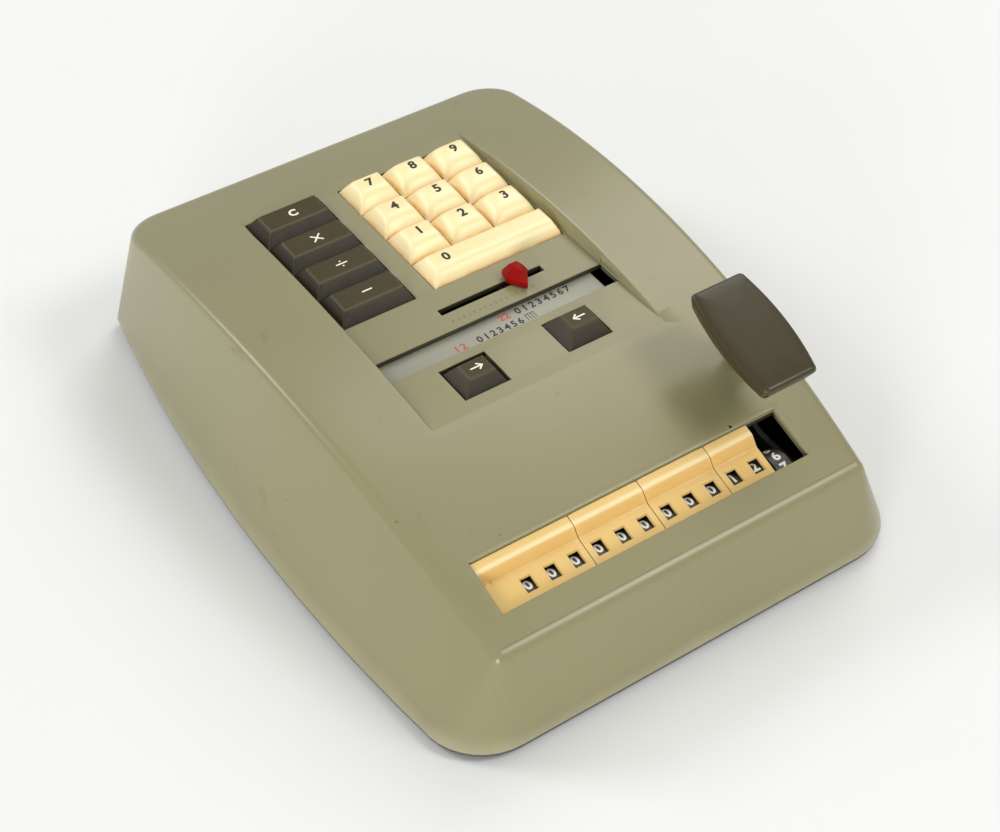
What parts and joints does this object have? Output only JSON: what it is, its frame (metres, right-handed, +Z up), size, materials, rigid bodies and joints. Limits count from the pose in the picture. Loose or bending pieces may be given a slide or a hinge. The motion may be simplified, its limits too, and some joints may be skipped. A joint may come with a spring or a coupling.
{
  "type": "desk calculator",
  "caption": "Hand-operated ten-key desk calculator: press-down drive lever, digit and function keys, a sliding scale and a number-wheel register.",
  "frame": {"origin": "on the table, under the middle of the casing", "axes": "+X to the user's right, -Y towards the user, +Z up"},
  "size_m": [0.1874, 0.2414, 0.0839],
  "materials": {
    "casing_plastic": "warm grey-green moulded plastic, satin, with fine specks and a little wear",
    "base_sheet": "dark grey enamel on sheet steel",
    "foot_rubber": "black rubber",
    "screw_steel": "zinc plated steel",
    "frame_steel": "plain sheet and bar steel",
    "cream_key": "cream moulded plastic, satin gloss, orange in the crevices",
    "dark_key": "dark brown-grey moulded plastic, satin gloss",
    "red_plastic": "red moulded plastic",
    "scale_card": "grey enamelled strip with printed figures",
    "carriage_brass": "machined brass",
    "mask_plastic": "yellow cream moulded plastic",
    "wheel_plastic": "black moulded plastic with white figures",
    "pad_plastic": "brown-grey moulded plastic, semi-gloss"
  },
  "bodies": {
    "chassis": {"casing": "casing_plastic", "base_plate": "base_sheet", "foot_front_left": "foot_rubber", "foot_rear_left": "foot_rubber", "foot_front_right": "foot_rubber", "foot_rear_right": "foot_rubber", "base_screw_front_left": "screw_steel", "base_screw_rear_left": "screw_steel", "base_screw_front_right": "screw_steel", "base_screw_rear_right": "screw_steel", "side_frame_left": "frame_steel", "side_frame_right": "frame_steel", "key_guide_plate": "frame_steel", "rear_tie_bar": "frame_steel", "front_tie_bar": "frame_steel", "carriage_rail": "frame_steel", "wheel_shaft": "frame_steel", "detent_comb": "frame_steel", "lever_shaft": "frame_steel", "lever_spring": "frame_steel"},
    "lever": {"lever_arm": "frame_steel", "lever_pad": "pad_plastic"},
    "main_shaft": {"main_shaft": "frame_steel"},
    "key_7": {"key_7": "cream_key"},
    "key_8": {"key_8": "cream_key"},
    "key_9": {"key_9": "cream_key"},
    "key_4": {"key_4": "cream_key"},
    "key_5": {"key_5": "cream_key"},
    "key_6": {"key_6": "cream_key"},
    "key_1": {"key_1": "cream_key"},
    "key_2": {"key_2": "cream_key"},
    "key_3": {"key_3": "cream_key"},
    "key_0": {"key_0": "cream_key"},
    "key_clear": {"key_clear": "dark_key"},
    "key_multiply": {"key_multiply": "dark_key"},
    "key_divide": {"key_divide": "dark_key"},
    "key_minus": {"key_minus": "dark_key"},
    "key_shift_right": {"key_shift_right": "dark_key"},
    "key_shift_left": {"key_shift_left": "dark_key"},
    "pointer": {"pointer_knob": "red_plastic"},
    "setting_carriage": {"scale_strip": "scale_card", "setting_carriage": "carriage_brass"},
    "register_mask": {"register_mask_1": "mask_plastic", "register_mask_2": "mask_plastic", "register_mask_3": "mask_plastic", "register_mask_4": "mask_plastic"},
    "number_wheel_1": {"number_wheel_1": "wheel_plastic"},
    "number_wheel_2": {"number_wheel_2": "wheel_plastic"},
    "number_wheel_3": {"number_wheel_3": "wheel_plastic"},
    "number_wheel_4": {"number_wheel_4": "wheel_plastic"},
    "number_wheel_5": {"number_wheel_5": "wheel_plastic"},
    "number_wheel_6": {"number_wheel_6": "wheel_plastic"},
    "number_wheel_7": {"number_wheel_7": "wheel_plastic"},
    "number_wheel_8": {"number_wheel_8": "wheel_plastic"},
    "number_wheel_9": {"number_wheel_9": "wheel_plastic"},
    "number_wheel_10": {"number_wheel_10": "wheel_plastic"},
    "number_wheel_11": {"number_wheel_11": "wheel_plastic"},
    "number_wheel_12": {"number_wheel_12": "wheel_plastic"}
  },
  "joints": [
    {"name": "lever_press", "type": "hinge", "parent": "chassis", "child": "lever", "pos_m": [0.0575, 0.02, 0.026], "axis": [1, 0, 0], "range_deg": [0, 10], "stiffness_Nm_per_rad": 1.5, "springref_deg": -17.19},
    {"name": "main_shaft_turn", "type": "hinge", "parent": "chassis", "child": "main_shaft", "pos_m": [0, 0.056, 0.026], "axis": [1, 0, 0], "range_deg": [-51, 1]},
    {"name": "key_7_press", "type": "slide", "parent": "chassis", "child": "key_7", "axis": [0, 0, -1], "range_m": [0, 0.004], "stiffness_N_per_m": 120, "springref_m": -0.003},
    {"name": "key_8_press", "type": "slide", "parent": "chassis", "child": "key_8", "axis": [0, 0, -1], "range_m": [0, 0.004], "stiffness_N_per_m": 120, "springref_m": -0.003},
    {"name": "key_9_press", "type": "slide", "parent": "chassis", "child": "key_9", "axis": [0, 0, -1], "range_m": [0, 0.004], "stiffness_N_per_m": 120, "springref_m": -0.003},
    {"name": "key_4_press", "type": "slide", "parent": "chassis", "child": "key_4", "axis": [0, 0, -1], "range_m": [0, 0.004], "stiffness_N_per_m": 120, "springref_m": -0.003},
    {"name": "key_5_press", "type": "slide", "parent": "chassis", "child": "key_5", "axis": [0, 0, -1], "range_m": [0, 0.004], "stiffness_N_per_m": 120, "springref_m": -0.003},
    {"name": "key_6_press", "type": "slide", "parent": "chassis", "child": "key_6", "axis": [0, 0, -1], "range_m": [0, 0.004], "stiffness_N_per_m": 120, "springref_m": -0.003},
    {"name": "key_1_press", "type": "slide", "parent": "chassis", "child": "key_1", "axis": [0, 0, -1], "range_m": [0, 0.004], "stiffness_N_per_m": 120, "springref_m": -0.003},
    {"name": "key_2_press", "type": "slide", "parent": "chassis", "child": "key_2", "axis": [0, 0, -1], "range_m": [0, 0.004], "stiffness_N_per_m": 120, "springref_m": -0.003},
    {"name": "key_3_press", "type": "slide", "parent": "chassis", "child": "key_3", "axis": [0, 0, -1], "range_m": [0, 0.004], "stiffness_N_per_m": 120, "springref_m": -0.003},
    {"name": "key_0_press", "type": "slide", "parent": "chassis", "child": "key_0", "axis": [0, 0, -1], "range_m": [0, 0.004], "stiffness_N_per_m": 120, "springref_m": -0.003},
    {"name": "key_clear_press", "type": "slide", "parent": "chassis", "child": "key_clear", "axis": [0, 0, -1], "range_m": [0, 0.004], "stiffness_N_per_m": 120, "springref_m": -0.003},
    {"name": "key_multiply_press", "type": "slide", "parent": "chassis", "child": "key_multiply", "axis": [0, 0, -1], "range_m": [0, 0.004], "stiffness_N_per_m": 120, "springref_m": -0.003},
    {"name": "key_divide_press", "type": "slide", "parent": "chassis", "child": "key_divide", "axis": [0, 0, -1], "range_m": [0, 0.004], "stiffness_N_per_m": 120, "springref_m": -0.003},
    {"name": "key_minus_press", "type": "slide", "parent": "chassis", "child": "key_minus", "axis": [0, 0, -1], "range_m": [0, 0.004], "stiffness_N_per_m": 120, "springref_m": -0.003},
    {"name": "key_shift_right_press", "type": "slide", "parent": "chassis", "child": "key_shift_right", "axis": [0, 0, -1], "range_m": [0, 0.0025], "stiffness_N_per_m": 120, "springref_m": -0.003},
    {"name": "key_shift_left_press", "type": "slide", "parent": "chassis", "child": "key_shift_left", "axis": [0, 0, -1], "range_m": [0, 0.004], "stiffness_N_per_m": 120, "springref_m": -0.003},
    {"name": "pointer_slide", "type": "slide", "parent": "chassis", "child": "pointer", "axis": [1, 0, 0], "range_m": [-0.0285, 0.0088]},
    {"name": "setting_carriage_slide", "type": "slide", "parent": "chassis", "child": "setting_carriage", "axis": [1, 0, 0], "range_m": [-0.022, 0]},
    {"name": "register_mask_slide", "type": "slide", "parent": "chassis", "child": "register_mask", "axis": [1, 0, 0], "range_m": [0, 0.00872]},
    {"name": "number_wheel_1_turn", "type": "hinge", "parent": "chassis", "child": "number_wheel_1", "pos_m": [-0.0473, -0.0956, 0.0314], "axis": [1, 0, 0], "continuous": true},
    {"name": "number_wheel_2_turn", "type": "hinge", "parent": "chassis", "child": "number_wheel_2", "pos_m": [-0.03858, -0.0956, 0.0314], "axis": [1, 0, 0], "continuous": true},
    {"name": "number_wheel_3_turn", "type": "hinge", "parent": "chassis", "child": "number_wheel_3", "pos_m": [-0.02986, -0.0956, 0.0314], "axis": [1, 0, 0], "continuous": true},
    {"name": "number_wheel_4_turn", "type": "hinge", "parent": "chassis", "child": "number_wheel_4", "pos_m": [-0.02114, -0.0956, 0.0314], "axis": [1, 0, 0], "continuous": true},
    {"name": "number_wheel_5_turn", "type": "hinge", "parent": "chassis", "child": "number_wheel_5", "pos_m": [-0.01242, -0.0956, 0.0314], "axis": [1, 0, 0], "continuous": true},
    {"name": "number_wheel_6_turn", "type": "hinge", "parent": "chassis", "child": "number_wheel_6", "pos_m": [-0.0037, -0.0956, 0.0314], "axis": [1, 0, 0], "continuous": true},
    {"name": "number_wheel_7_turn", "type": "hinge", "parent": "chassis", "child": "number_wheel_7", "pos_m": [0.00502, -0.0956, 0.0314], "axis": [1, 0, 0], "continuous": true},
    {"name": "number_wheel_8_turn", "type": "hinge", "parent": "chassis", "child": "number_wheel_8", "pos_m": [0.01374, -0.0956, 0.0314], "axis": [1, 0, 0], "continuous": true},
    {"name": "number_wheel_9_turn", "type": "hinge", "parent": "chassis", "child": "number_wheel_9", "pos_m": [0.02246, -0.0956, 0.0314], "axis": [1, 0, 0], "continuous": true},
    {"name": "number_wheel_10_turn", "type": "hinge", "parent": "chassis", "child": "number_wheel_10", "pos_m": [0.03118, -0.0956, 0.0314], "axis": [1, 0, 0], "continuous": true},
    {"name": "number_wheel_11_turn", "type": "hinge", "parent": "chassis", "child": "number_wheel_11", "pos_m": [0.0399, -0.0956, 0.0314], "axis": [1, 0, 0], "continuous": true},
    {"name": "number_wheel_12_turn", "type": "hinge", "parent": "chassis", "child": "number_wheel_12", "pos_m": [0.04862, -0.0956, 0.0314], "axis": [1, 0, 0], "continuous": true}
  ],
  "couplings": [
    {"joint": "main_shaft_turn", "follows": "lever_press", "ratio": -5}
  ]
}
